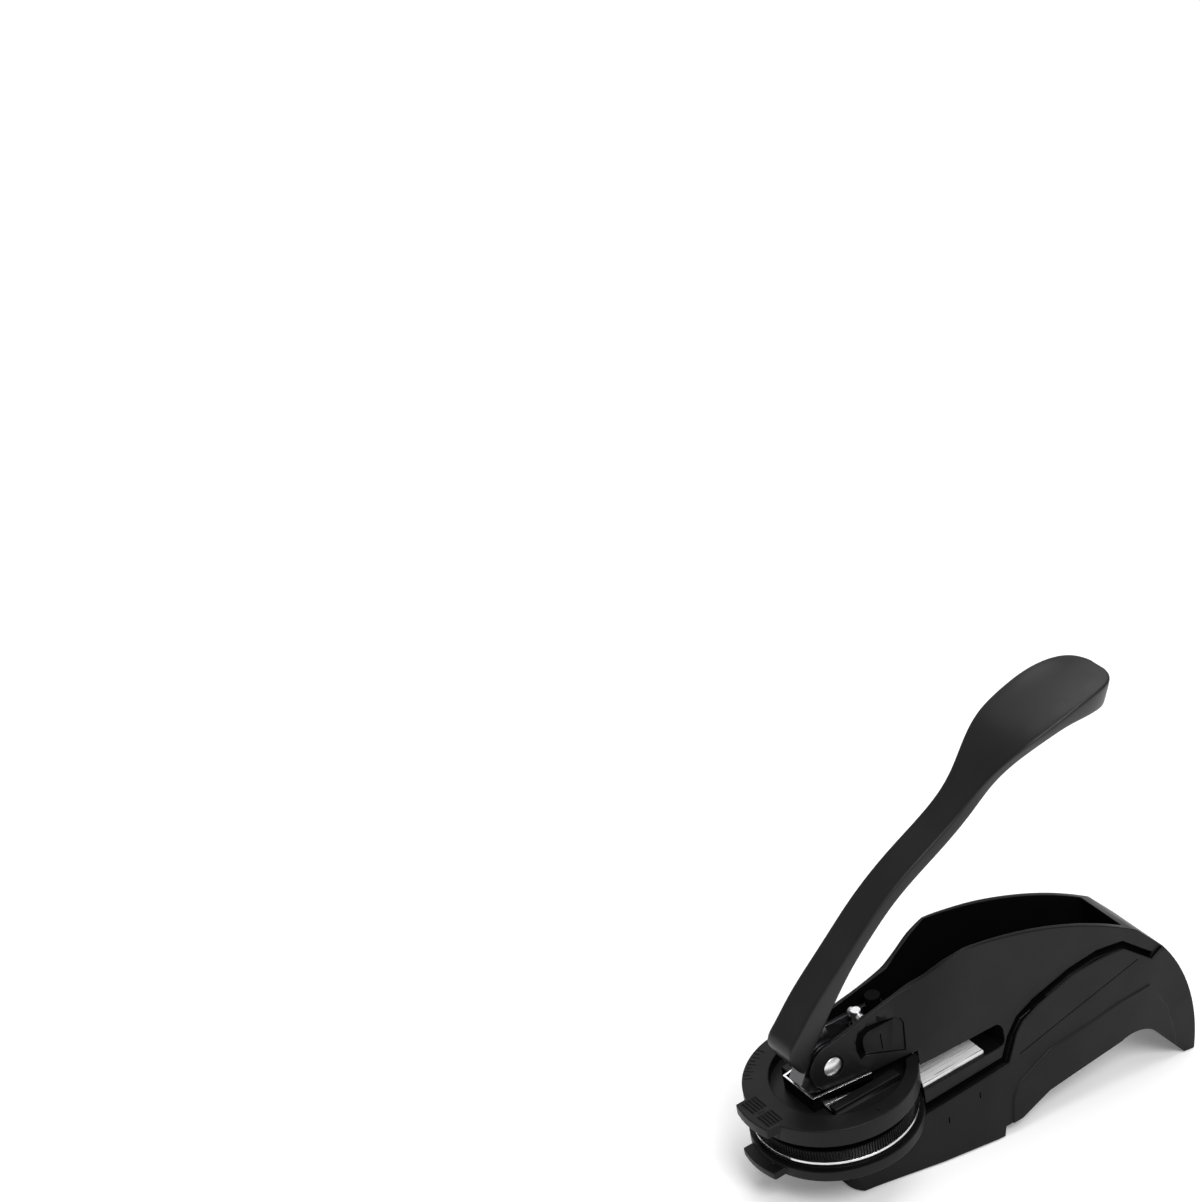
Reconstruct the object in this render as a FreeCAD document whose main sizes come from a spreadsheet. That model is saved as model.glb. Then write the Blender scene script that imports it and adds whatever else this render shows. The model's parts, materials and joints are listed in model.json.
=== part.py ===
import FreeCAD, Part
import math
import os
import Sketcher
from FreeCAD import Placement, Rotation, Vector

# Seal embosser, long-reach hand model, in millimetres.
# X runs from the die end (-) to the tail (+), Z is up and z = 0 is the desk.  The origin is the
# middle of the desk pad.  The base is drawn from the die axis, die_place ahead of the origin.
# The dies, the jaws, the ram and the lever are drawn in a jaw frame, which leans forward by
# jaw_tilt about the point jaw_height above the desk on the die axis.
# In the jaw frame z = 0 is the top face of the upper die holder.

DOC = FreeCAD.newDocument("seal_embosser")
SHEET = DOC.addObject("Spreadsheet::Sheet", "Sizes")

# ---------------------------------------------------------------- driving dimensions
DIMENSIONS = [
    ("die_place", 26.0, "die axis ahead of the origin, which is the middle of the desk pad"),
    ("jaw_height", 33.2, "height of the jaw frame's origin above the desk"),
    ("jaw_tilt", 9.9, "forward lean of the jaws, degrees"),
    ("sliding_gap", 0.2, "clearance between parts that slide"),
    ("running_gap", 0.05, "radial clearance of a pin in its hole"),
    ("seat_gap", 0.1, "clearance of a fixed piece in its pocket"),
    # die holders and dies
    ("holder_radius", 25.5, "outer radius of both die holders"),
    ("upper_holder_wall", 5.8, "height of the upper holder"),
    ("lower_holder_wall", 3.4, "height of the lower holder's disc"),
    ("dish_radius", 19.8, "radius of the dish in the upper holder"),
    ("dish_shift", 2.5, "dish centre behind the die axis"),
    ("dish_floor", 3.5, "depth of the dish"),
    ("tab_out", 2.3, "how far the finger tabs stand out of the holders"),
    ("tab_half_width", 7.8, "half width of the finger tabs"),
    ("tab_thickness", 3.4, "thickness of the upper finger tab"),
    ("grip_groove", 0.4, "width of a grip groove"),
    ("grip_pitch", 1.1, "pitch of the grip grooves"),
    ("die_radius", 22.8, "tip radius of the toothed dies"),
    ("tooth_depth", 0.5, "depth of the die teeth"),
    ("tooth_count", 160, "teeth round each die"),
    ("die_height", 2.3, "height of the toothed rim of a die"),
    ("spigot_radius", 20.0, "radius of the die spigots"),
    ("spigot_height", 1.1, "height of the upper die's spigot"),
    ("paper_gap", 2.0, "open gap between the dies"),
    ("ring_radius", 24.4, "outer radius of the chrome ring"),
    ("ring_height", 0.8, "height of the chrome ring"),
    ("neck_radius", 23.4, "radius of the neck of the lower holder"),
    ("neck_height", 2.0, "height of the neck of the lower holder"),
    ("rail_half_width", 6.0, "half width of the lower holder's guide rail"),
    ("rail_height", 1.7, "height of the guide rail"),
    # ram carriage
    ("sheet_gauge", 0.65, "gauge of the ram carriage"),
    ("carriage_front", 11.3, "front wall of the carriage ahead of the die axis"),
    ("carriage_rear", 8.0, "rear end of the carriage's side walls"),
    ("carriage_front_half", 7.35, "half width of the carriage at its front"),
    ("carriage_rear_half", 9.75, "half width of the carriage at its rear"),
    ("carriage_top", 1.3, "top edge of the carriage's walls"),
    ("flange_half_width", 11.4, "half width of the carriage's floor flange"),
    ("floor_gauge", 0.8, "gauge of the carriage's floor"),
    ("rod_place", 11.6, "lift rod behind the die axis"),
    ("rod_radius", 1.5, "radius of the lift rod"),
    ("rod_top", 16.6, "top of the lift rod"),
    ("cross_pin_radius", 1.4, "radius of the cross pin"),
    ("cross_pin_half", 2.8, "half length of the cross pin"),
    ("cross_pin_place", 14.6, "height of the cross pin"),
    ("spring_wire", 0.6, "wire of the lift spring"),
    ("spring_radius", 2.3, "mean radius of the lift spring"),
    ("spring_turns", 5, "turns of the lift spring"),
    # pivot, cam and lever
    ("pivot_place", -2.6, "pivot behind the die axis"),
    ("pivot_height", 7.8, "pivot above the holder's top face"),
    ("pin_radius", 1.6, "radius of the pivot rivet"),
    ("rivet_head_radius", 3.0, "radius of the rivet heads"),
    ("rivet_head_height", 0.9, "height of the rivet heads"),
    ("rivet_dome", 5.45, "radius of the rivet heads' dome"),
    ("ear_radius", 7.4, "radius of the ears round the pivot"),
    ("ear_flat", 6.5, "half distance between the rivet seats"),
    ("press_stroke", 1.75, "travel of the ram"),
    ("press_angle", 40.0, "travel of the lever, degrees"),
    ("cam_half_width", 2.9, "half width of the lever core and its cam"),
    ("lever_half_width", 5.8, "half width of the lever cover"),
    ("lever_wall", 1.5, "wall of the lever cover"),
    ("lever_rise", 37.5, "slope of the lever's length line, degrees"),
    ("spoon_half_width", 12.5, "half width of the lever's spoon"),
    ("spoon_dish", 0.8, "depth of the spoon's dish"),
    # body shell
    ("channel_front_half", 4.75, "half width of the channel between the ears"),
    ("channel_rear_half", 9.3, "half width of the rear channel"),
    ("channel_floor", 3.0, "floor of the channel"),
    ("beam_underside", 0.5, "underside of the beam above the upper holder"),
    ("throat_roof", -4.3, "roof of the paper throat"),
    ("throat_front", 26.3, "where the roof of the throat begins on the centre line"),
    ("die_seat_gap", 0.4, "clearance round the die holders' rims"),
    ("throat_rear", 53.0, "rear end of the throat"),
    ("jaw_top", -13.4, "top of the lower jaw in the throat"),
    ("jaw_bottom", -26.0, "underside of the lower jaw"),
    ("jaw_half_width", 11.9, "half width of the lower jaw"),
    ("jaw_front", 4.0, "front of the lower jaw ahead of the die axis"),
    ("channel_rear", 100.5, "rear end of the channel"),
    ("well_front", 76.0, "front of the well behind the channel floor"),
    ("well_depth", 9.0, "depth of the well below the channel floor"),
    ("wall_top_front", 26.0, "front corner of the rear walls, height"),
    ("wall_rear", 104.7, "rear top corner of the rear walls"),
    ("shell_rear", 113.3, "rear end of the body shell"),
    # throat plate and frame
    ("plate_gauge", 1.0, "gauge of the throat plate"),
    ("plate_half_width", 10.4, "half width of the throat plate"),
    ("frame_gauge", 1.5, "gauge of the frame plates"),
    ("frame_inner", 3.2, "half distance between the frame plates"),
    ("frame_pin_radius", 1.75, "radius of the frame pins"),
    ("frame_pin_half", 6.5, "half length of the frame pins"),
    ("bumper_place", 17.8, "lever buffer behind the die axis"),
    ("bumper_radius", 2.2, "radius of the lever buffer"),
    ("bumper_top", 18.6, "top of the lever buffer"),
    # base cover
    ("cover_gap", 0.3, "gap between the body shell and the base cover"),
    ("base_front", -0.5, "front of the base on the desk"),
    ("front_lean", 0.3, "forward lean of the base's front, per unit of height"),
    ("base_rear", 52.4, "rear end of the base's flat"),
    ("base_half_width", 16.7, "half width of the base on the desk"),
    ("base_corner", 6.5, "corner radius of the base"),
    ("tail_front", 124.9, "front of the tail foot"),
    ("tail_rear", 128.8, "rear of the tail foot"),
    ("flank_depth", 0.7, "depth of the recesses on the beam's flanks"),
    ("seam_depth", 1.2, "depth of the seam groove above the base cover"),
    ("arch_rise", 0.4, "how far the arch panels stand out of the base cover"),
    ("pad_thickness", 1.6, "thickness of the desk pad"),
    ("pad_proud", 0.3, "how far the pad stands out of the base"),
    ("pad_margin", 3.2, "margin of the pad from the base's edge"),
    ("screw_radius", 1.5, "radius of the base screws"),
    ("screw_head_radius", 2.8, "radius of the base screws' heads"),
    ("screw_head_height", 1.8, "height of the base screws' heads"),
]

for row, (alias, amount, note) in enumerate(DIMENSIONS, start=1):
    SHEET.set("A%d" % row, str(amount))
    SHEET.set("B%d" % row, note)
    SHEET.setAlias("A%d" % row, alias)
DOC.recompute()


class Size:
    """A length that knows both its value and the sheet expression that gives it."""

    def __init__(self, value, text):
        self.value = float(value)
        self.text = text

    def __add__(self, other):
        other = as_size(other)
        return Size(self.value + other.value, "(%s + %s)" % (self.text, other.text))

    def __sub__(self, other):
        other = as_size(other)
        return Size(self.value - other.value, "(%s - %s)" % (self.text, other.text))

    def __mul__(self, factor):
        return Size(self.value * factor, "(%s * %r)" % (self.text, factor))

    def __neg__(self):
        return self * -1.0


def as_size(item):
    return item if isinstance(item, Size) else Size(item, "%.6f" % item)


def size(alias):
    return Size(float(SHEET.get(alias)), "Sizes." + alias)


def value(alias):
    return float(SHEET.get(alias))


# ---------------------------------------------------------------- frames
WORLD = Placement(Vector(-value("die_place"), 0, 0), Rotation())
JAW = WORLD.multiply(Placement(Vector(0, 0, value("jaw_height")),
                               Rotation(Vector(0, 1, 0), -value("jaw_tilt"))))


BEYOND = 400.0      # well outside every piece


# ---------------------------------------------------------------- modelling helpers
def new_body(label, frame):
    body = DOC.addObject("PartDesign::Body", label)
    body.Label = label
    body.Placement = frame
    return body


def sketch_on(body, name, role, height=0.0):
    """A sketch on one of the body's own origin planes, lifted along that plane's normal."""
    plane = [item for item in body.Origin.OriginFeatures if item.Role == role][0]
    sketch = body.newObject("Sketcher::SketchObject", name)
    sketch.AttachmentSupport = [(plane, "")]
    sketch.MapMode = "FlatFace"
    lift = as_size(height)
    sketch.AttachmentOffset = Placement(Vector(0, 0, lift.value), Rotation())
    if isinstance(height, Size):
        sketch.setExpression("AttachmentOffset.Base.z", lift.text)
    return sketch


def bind(sketch, kind, first, second, amount):
    """A dimension tied to the sheet."""
    if kind == "Radius":
        constraint = Sketcher.Constraint(kind, first, abs(amount.value))
    else:
        constraint = Sketcher.Constraint(kind, -1, 1, first, second, amount.value)
    index = sketch.addConstraint(constraint)
    sketch.setExpression("Constraints[%d]" % index, amount.text)


def arc_between(start, end, radius):
    """Arc of a circle from start to end; a positive radius turns left, a negative one right."""
    chord = end - start
    half = chord.Length / 2
    rise = math.sqrt(max(radius * radius - half * half, 0.0))
    left = Vector(-chord.y, chord.x, 0).normalize()
    centre = (start + end) / 2 + left * math.copysign(rise, radius)
    first, last = (start, end) if radius > 0 else (end, start)
    angles = [math.atan2(p.y - centre.y, p.x - centre.x) for p in (first, last)]
    circle = Part.Circle(centre, Vector(0, 0, 1), abs(radius))
    return Part.ArcOfCircle(circle, angles[0], angles[1])


def outline(sketch, points):
    """Closed outline through (x, y) points; (x, y, r) reaches its point by an arc of radius r."""
    corners = [(as_size(point[0]), as_size(point[1])) for point in points]
    arrivals = []
    departures = []
    for index, point in enumerate(points):
        start = Vector(corners[index - 1][0].value, corners[index - 1][1].value, 0)
        end = Vector(corners[index][0].value, corners[index][1].value, 0)
        if len(point) == 3:
            bend = as_size(point[2])
            edge = sketch.addGeometry(arc_between(start, end, bend.value), False)
            bind(sketch, "Radius", edge, 0, bend if bend.value > 0 else -bend)
            forward = bend.value > 0
        else:
            edge = sketch.addGeometry(Part.LineSegment(start, end), False)
            forward = True
        arrivals.append((edge, 2 if forward else 1))
        departures.append((edge, 1 if forward else 2))
    for index, (edge, vertex) in enumerate(arrivals):
        following, first = departures[(index + 1) % len(points)]
        sketch.addConstraint(Sketcher.Constraint("Coincident", edge, vertex, following, first))
        bind(sketch, "DistanceX", edge, vertex, corners[index][0])
        bind(sketch, "DistanceY", edge, vertex, corners[index][1])
    return sketch


def box_outline(sketch, x_low, x_high, y_low, y_high):
    return outline(sketch, [(x_low, y_low), (x_high, y_low), (x_high, y_high), (x_low, y_high)])


def circle(sketch, x, y, radius):
    x, y, radius = as_size(x), as_size(y), as_size(radius)
    shape = Part.Circle(Vector(x.value, y.value, 0), Vector(0, 0, 1), radius.value)
    edge = sketch.addGeometry(shape, False)
    bind(sketch, "Radius", edge, 0, radius)
    bind(sketch, "DistanceX", edge, 3, x)
    bind(sketch, "DistanceY", edge, 3, y)
    return sketch


def finish(body, feature, grows):
    """Recompute and make sure that the feature really added or removed material."""
    DOC.recompute()
    base = feature.BaseFeature.Shape.Volume if feature.BaseFeature else 0.0
    change = feature.Shape.Volume - base
    if (change > 0) != grows or abs(change) < 1e-6:
        raise RuntimeError("%s: %s changes the volume by %.4f" % (body.Label, feature.Name, change))
    return feature


def pad(body, sketch, length, both=False, down=False):
    length = as_size(length)
    feature = body.newObject("PartDesign::Pad", sketch.Name + "_pad")
    feature.Profile = sketch
    feature.Length = length.value
    feature.setExpression("Length", length.text)
    feature.Midplane = both
    feature.Reversed = down
    return finish(body, feature, True)


def pocket(body, sketch, length=None, both=False, up=False, lean=None):
    """Cut the sketch down (or up) by length, or through everything when no length is given."""
    feature = body.newObject("PartDesign::Pocket", sketch.Name + "_cut")
    if lean:
        feature.UseCustomVector = True
        feature.Direction = lean
    feature.Profile = sketch
    feature.Midplane = both
    feature.Reversed = up
    if length is None:
        feature.Type = "ThroughAll"
    else:
        length = as_size(length)
        feature.Length = length.value
        feature.setExpression("Length", length.text)
    return finish(body, feature, False)


def side_recess(label, frame, points, core):
    """Cutting tool: all that lies inside an outline in the side view and outside the core."""
    tool = new_body(label + "_prism", frame)
    form = sketch_on(tool, label + "_form", "XZ_Plane")
    outline(form, points)
    pad(tool, form, size("holder_radius") * 2.0, both=True)
    return cut_away(label, tool, [core])


def trim_to(body, name, points):
    """Keep only what lies inside an outline drawn on the body's XZ plane."""
    sketch = sketch_on(body, name, "XZ_Plane")
    box_outline(sketch, -BEYOND, BEYOND, -BEYOND, BEYOND)
    outline(sketch, points)
    return pocket(body, sketch, both=True)


def cut_away(label, base, tools):
    """Boolean cut of one object by several."""
    result = base
    for tool in tools:
        step = DOC.addObject("Part::Cut", label + "_cut")
        step.Base = result
        step.Tool = tool
        result = step
    result.Label = label
    return result


def free_shape(label, shape, frame):
    feature = DOC.addObject("Part::Feature", label)
    feature.Label = label
    feature.Shape = shape
    feature.Placement = frame
    return feature


# ---------------------------------------------------------------- shared places (jaw frame)
GAP = size("sliding_gap")
PIVOT_X = size("pivot_place")
PIVOT_Z = size("pivot_height")
UPPER_FACE = -size("upper_holder_wall") - size("die_height")
LOWER_FACE = UPPER_FACE - size("paper_gap")
RING_TOP = LOWER_FACE - size("die_height")
NECK_TOP = RING_TOP - size("ring_height")
LOWER_TOP = NECK_TOP - size("neck_height")
LOWER_BOTTOM = LOWER_TOP - size("lower_holder_wall")
SEAT = LOWER_BOTTOM - GAP
FLOOR_LOW = -size("dish_floor") + GAP
FLOOR_TOP = FLOOR_LOW + size("floor_gauge")


# ---------------------------------------------------------------- dies
def toothed_disc(radius, depth, count, low, height):
    """A disc with a milled edge: trapezoid teeth round its rim."""
    points = []
    step = 2 * math.pi / count
    for tooth in range(count):
        for share, reach in ((0.0, radius - depth), (0.3, radius - depth), (0.5, radius), (0.8, radius)):
            angle = (tooth + share) * step
            points.append(Vector(reach * math.cos(angle), reach * math.sin(angle), low))
    wire = Part.makePolygon(points + points[:1])
    return Part.Face(wire).extrude(Vector(0, 0, height))


def make_upper_die():
    """Counter die: a toothed disc whose spigot sits in the upper holder."""
    height = value("die_height")
    teeth = toothed_disc(value("die_radius"), value("tooth_depth"), int(value("tooth_count")),
                         UPPER_FACE.value, height)
    spigot = Part.makeCylinder(value("spigot_radius"), value("spigot_height"),
                               Vector(0, 0, UPPER_FACE.value + height))
    recess = Part.makeCylinder(value("spigot_radius") - 2.5, 0.3, Vector(0, 0, UPPER_FACE.value))
    return free_shape("upper_die", teeth.fuse(spigot).cut(recess).removeSplitter(), JAW)


def make_lower_die():
    """Engraved die: a toothed disc with a raised face and a spigot in the chrome ring."""
    height = value("die_height")
    teeth = toothed_disc(value("die_radius"), value("tooth_depth"), int(value("tooth_count")),
                         RING_TOP.value, height)
    spigot = Part.makeCylinder(value("spigot_radius"), value("ring_height"), Vector(0, 0, NECK_TOP.value))
    raised = Part.makeCylinder(value("spigot_radius") - 3.0, 0.25, Vector(0, 0, LOWER_FACE.value))
    return free_shape("lower_die", teeth.fuse([spigot, raised]).removeSplitter(), JAW)


def make_die_ring():
    """Chrome ring round the lower die's spigot."""
    outer = DOC.addObject("Part::Cylinder", "ring_outer")
    outer.setExpression("Radius", "Sizes.ring_radius")
    outer.setExpression("Height", "Sizes.ring_height")
    inner = DOC.addObject("Part::Cylinder", "ring_bore")
    inner.setExpression("Radius", "Sizes.spigot_radius + Sizes.seat_gap")
    inner.setExpression("Height", "Sizes.ring_height")
    ring = cut_away("die_ring", outer, [inner])
    ring.Placement = JAW.multiply(Placement(Vector(0, 0, NECK_TOP.value), Rotation()))
    return ring


# ---------------------------------------------------------------- die holders
def tab_points(reach, half, rounding):
    """Finger tab: straight sides and a gently curved front."""
    return [(-reach, half), (-reach, -half, rounding), (0.0, -half), (0.0, half)]


def make_upper_holder():
    """Dished disc with a ribbed finger tab and two rails that hang on the ram carriage."""
    body = new_body("upper_die_holder", JAW)
    radius = size("holder_radius")
    reach = radius + size("tab_out")
    wall = size("upper_holder_wall")
    disc = circle(sketch_on(body, "holder_disc", "XY_Plane"), 0.0, 0.0, radius)
    pad(body, disc, wall, down=True)
    tab = sketch_on(body, "holder_tab", "XY_Plane")
    outline(tab, tab_points(reach, size("tab_half_width"), reach))
    pad(body, tab, size("tab_thickness"), down=True)
    dish = sketch_on(body, "holder_dish", "XY_Plane")
    circle(dish, size("dish_shift"), 0.0, size("dish_radius"))
    pocket(body, dish, size("dish_floor"))
    way = size("flange_half_width") + GAP
    lip = size("carriage_rear_half") + GAP
    roof = FLOOR_TOP + GAP
    mouth = sketch_on(body, "holder_mouth", "XY_Plane")
    box_outline(mouth, size("dish_shift"), radius + 1.0, -lip, lip)
    pocket(body, mouth, size("dish_floor"))
    slot = sketch_on(body, "flange_way", "XY_Plane", roof)
    box_outline(slot, size("carriage_rear"), radius + 1.0, -way, way)
    pocket(body, slot, roof + size("dish_floor"))
    seat = sketch_on(body, "die_recess", "XY_Plane", -wall)
    circle(seat, 0.0, 0.0, size("spigot_radius") + size("seat_gap"))
    pocket(body, seat, size("spigot_height") + size("seat_gap"), up=True)
    for side in (1.0, -1.0):
        name = "left" if side > 0 else "right"
        rail = sketch_on(body, "rail_" + name, "YZ_Plane", -size("carriage_rear"))
        points = [(way * side, -size("dish_floor")), (way * side, roof), (lip * side, roof),
                  (lip * side, roof + 1.2), ((way + 1.7) * side, roof + 1.2),
                  ((way + 1.7) * side, -size("dish_floor"))]
        outline(rail, points)
        pad(body, rail, size("carriage_rear") * 2.9)
    grooves = sketch_on(body, "grip_groove", "XY_Plane")
    front = -reach + size("grip_pitch")
    edge = size("tab_half_width") - size("grip_pitch")
    for low, high in ((-edge, -size("grip_pitch")), (size("grip_pitch"), edge)):
        box_outline(grooves, front, front + size("grip_groove"), low, high)
    first = pocket(body, grooves, 0.4)
    rows = body.newObject("PartDesign::LinearPattern", "grip_rows")
    rows.Originals = [first]
    rows.Direction = (grooves, ["H_Axis"])
    rows.Occurrences = 5
    rows.Length = 4 * value("grip_pitch")
    rows.setExpression("Length", "4 * Sizes.grip_pitch")
    body.Tip = rows
    DOC.recompute()
    mark = sketch_on(body, "tab_mark", "XY_Plane")
    box_outline(mark, front + size("grip_pitch"), front + size("grip_pitch") * 3.0,
                size("grip_groove") * -0.5, size("grip_groove") * 0.5)
    pocket(body, mark, 0.4)
    return body


def make_lower_holder():
    """Disc with a neck for the chrome ring, a finger tab and a groove for the guide rail."""
    body = new_body("lower_die_holder", JAW)
    disc = sketch_on(body, "lower_disc", "XY_Plane", LOWER_BOTTOM)
    circle(disc, 0.0, 0.0, size("holder_radius"))
    pad(body, disc, size("lower_holder_wall"))
    neck = sketch_on(body, "lower_neck", "XY_Plane", LOWER_TOP)
    circle(neck, 0.0, 0.0, size("neck_radius"))
    pad(body, neck, size("neck_height"))
    tab = sketch_on(body, "lower_tab", "XY_Plane", LOWER_BOTTOM)
    reach = size("holder_radius") + size("tab_out")
    outline(tab, tab_points(reach, size("tab_half_width"), reach))
    pad(body, tab, size("lower_holder_wall") * 0.7)
    ramp = sketch_on(body, "tab_ramp", "XZ_Plane")
    top = LOWER_BOTTOM + size("lower_holder_wall") * 0.7
    outline(ramp, [(-reach + 0.8, top), (-reach + 6.0, top), (-reach + 6.0, LOWER_TOP)])
    pad(body, ramp, size("tab_half_width"), both=True)
    groove = sketch_on(body, "rail_groove", "XY_Plane", LOWER_BOTTOM)
    way = size("rail_half_width") + GAP
    box_outline(groove, -10.0, size("holder_radius") + 1.0, -way, way)
    pocket(body, groove, size("rail_height"), up=True)
    return body


# ---------------------------------------------------------------- ram
def make_carriage():
    """Pressed steel ram: a flanged floor with a U-shaped wall that hugs the ears."""
    body = new_body("ram_carriage", JAW)
    front = -size("carriage_front")
    rear = size("carriage_rear")
    wide = size("flange_half_width")
    narrow = size("carriage_front_half")
    floor = sketch_on(body, "carriage_floor", "XY_Plane", FLOOR_LOW)
    outline(floor, [(front, -narrow), (-rear, -narrow), (-rear, -wide), (rear, -wide), (rear, -4.0),
                    (size("rod_place") + 3.5, -4.0), (size("rod_place") + 3.5, 4.0), (rear, 4.0),
                    (rear, wide), (-rear, wide), (-rear, narrow), (front, narrow)])
    pad(body, floor, size("floor_gauge"))
    wall = sketch_on(body, "carriage_wall", "XY_Plane", FLOOR_TOP)
    gauge = size("sheet_gauge")
    spread = size("carriage_rear_half")
    outline(wall, [(front, narrow), (front, -narrow), (rear, -spread), (rear, -spread + gauge),
                   (front + gauge, -narrow + gauge), (front + gauge, narrow - gauge),
                   (rear, spread - gauge), (rear, spread)])
    pad(body, wall, size("carriage_top") - FLOOR_TOP)
    hole = sketch_on(body, "rod_hole", "XY_Plane", FLOOR_TOP)
    circle(hole, size("rod_place"), 0.0, size("rod_radius") - 0.5)
    pocket(body, hole)
    return body


def make_lift_rod():
    """Stepped rod riveted into the carriage, drilled across for the cross pin."""
    body = new_body("lift_rod", JAW)
    shank = sketch_on(body, "rod_shank", "XY_Plane", FLOOR_TOP)
    circle(shank, size("rod_place"), 0.0, size("rod_radius"))
    pad(body, shank, size("rod_top") - FLOOR_TOP)
    stub = sketch_on(body, "rod_stub", "XY_Plane", FLOOR_TOP)
    circle(stub, size("rod_place"), 0.0, size("rod_radius") - 0.5)
    pad(body, stub, size("floor_gauge"), down=True)
    drill = sketch_on(body, "rod_drill", "XZ_Plane")
    circle(drill, size("rod_place"), size("cross_pin_place"), size("cross_pin_radius") * 0.5)
    pocket(body, drill, both=True)
    return body


def make_cross_pin():
    """Shouldered pin through the lift rod: two collars joined by a thinner middle."""
    radius = value("cross_pin_radius")
    half = value("cross_pin_half")
    inner = value("rod_radius")
    parts = [Part.makeCylinder(radius * 0.5, 2 * half, Vector(0, -half, 0), Vector(0, 1, 0))]
    for start in (-half, inner):
        parts.append(Part.makeCylinder(radius, half - inner, Vector(0, start, 0), Vector(0, 1, 0)))
    shape = parts[0].fuse(parts[1:]).removeSplitter()
    place = Placement(Vector(value("rod_place"), 0, value("cross_pin_place")), Rotation())
    return free_shape("cross_pin", shape, JAW.multiply(place))


def make_lift_spring():
    """Compression spring between the channel floor and the cross pin."""
    wire = value("spring_wire")
    low = value("channel_floor") + wire / 2
    high = value("cross_pin_place") - value("cross_pin_radius") - wire / 2 - 0.2
    turns = value("spring_turns")
    helix = Part.makeHelix((high - low) / turns, high - low, value("spring_radius"))
    corners = [Vector(value("spring_radius") + wire / 2 * math.cos(math.radians(turn)), 0,
                      wire / 2 * math.sin(math.radians(turn))) for turn in range(0, 361, 45)]
    coil = Part.Wire(helix).makePipeShell([Part.makePolygon(corners)], True, True)
    place = Placement(Vector(value("rod_place"), 0, low), Rotation())
    return free_shape("lift_spring", coil, JAW.multiply(place))


# ---------------------------------------------------------------- lever and pivot
PIVOT_PLACE = JAW.multiply(Placement(Vector(value("pivot_place"), 0, value("pivot_height")), Rotation()))
LEVER = Placement(PIVOT_PLACE.Base, Rotation(Vector(0, 1, 0), -value("lever_rise")))


def cam_outline():
    """Cam edges about the pivot: a dwell arc, a flat and an involute that gives a steady lift."""
    base = value("pivot_height") - FLOOR_TOP.value - 0.15
    travel = math.radians(value("press_angle"))
    rate = value("press_stroke") / travel
    lobe = []
    for index in range(9):
        angle = travel * index / 8
        lift = base + rate * angle
        lobe.append(Vector(lift * math.sin(angle) + rate * math.cos(angle), 0,
                           rate * math.sin(angle) - lift * math.cos(angle)))
    curve = Part.BSplineCurve()
    curve.interpolate(lobe)
    front = math.radians(66.0)
    arc = Part.Arc(Vector(-base * math.sin(front), 0, -base * math.cos(front)),
                   Vector(-base * math.sin(front / 2), 0, -base * math.cos(front / 2)),
                   Vector(0, 0, -base))
    flat = Part.LineSegment(Vector(0, 0, -base), lobe[0])
    return [arc.toShape(), flat.toShape(), curve.toShape()]


ARM_END = [(50.0, 25.2), (72.0, 25.0), (72.0, 26.2), (50.0, 26.7)]


def side_prism(corners, half):
    """Prism over a polygon in the side view, half wide each way."""
    solid = Part.Face(Part.makePolygon(corners + corners[:1])).extrude(Vector(0, 2 * half, 0))
    solid.translate(Vector(0, -half, 0))
    return solid


def make_lever_core():
    """Steel lever: the cam head round the pivot and the arm inside the cover."""
    edges = cam_outline()
    front = edges[0].Vertexes[0].Point
    rear = edges[2].Vertexes[-1].Point
    turn = PIVOT_PLACE.inverse().multiply(LEVER)
    arm = [(11.6, 15.4), (22.7, 20.1), (38.2, 23.6)] + ARM_END
    arm += [(37.5, 25.3), (21.9, 21.8), (6.0, 18.2), (-1.0, 15.2), (-4.6, 10.4), (-5.7, 6.0),
            (-5.7, 3.4)]
    corners = [rear, Vector(5.0, 0, 1.5), Vector(0.8, 0, 14.0)]
    corners += [turn.multVec(Vector(along, 0, above)) for along, above in arm]
    corners.append(front)
    wire = Part.Wire(Part.__sortEdges__(edges + Part.makePolygon(corners).Edges))
    half = value("cam_half_width")
    solid = Part.Face(wire).extrude(Vector(0, 2 * half, 0))
    solid.translate(Vector(0, -half, 0))
    bore = Part.makeCylinder(value("pin_radius") + value("running_gap"), 2 * half,
                             Vector(0, -half, 0), Vector(0, 1, 0))
    return free_shape("lever_core", solid.cut(bore), PIVOT_PLACE)


LEVER_NOSE = [(-7.4, 6.6), (-7.9, 9.8), (-7.4, 13.4), (-6.4, 15.4)]
LEVER_TOP = [(-4.8, 16.6), (0.5, 18.3), (6.0, 20.4), (21.9, 23.9), (37.5, 27.3), (50.0, 28.6),
             (64.0, 28.1), (76.0, 28.0), (85.0, 29.5), (94.0, 31.6), (101.0, 31.9), (109.0, 30.5),
             (120.0, 27.9), (128.6, 24.4), (137.2, 17.9)]
LEVER_UNDER = [(129.6, 12.6), (117.4, 22.6), (108.5, 26.2), (98.8, 27.6), (90.6, 26.5), (82.1, 24.4),
               (73.7, 23.5), (64.7, 23.6), (55.4, 24.1), (46.4, 24.1), (38.2, 22.9), (30.5, 21.2),
               (22.7, 19.3), (9.6, 14.0), (4.9, 11.5), (-1.8, 8.7), (-4.4, 6.7), (-6.8, 4.4)]
SPOON_ARC = (95.8, -46.4, 78.0)     # centre along and above, and radius, of the spoon's back


def spline(points):
    curve = Part.BSplineCurve()
    curve.interpolate([Vector(x, 0, z) for x, z in points])
    return curve.toShape()


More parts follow.
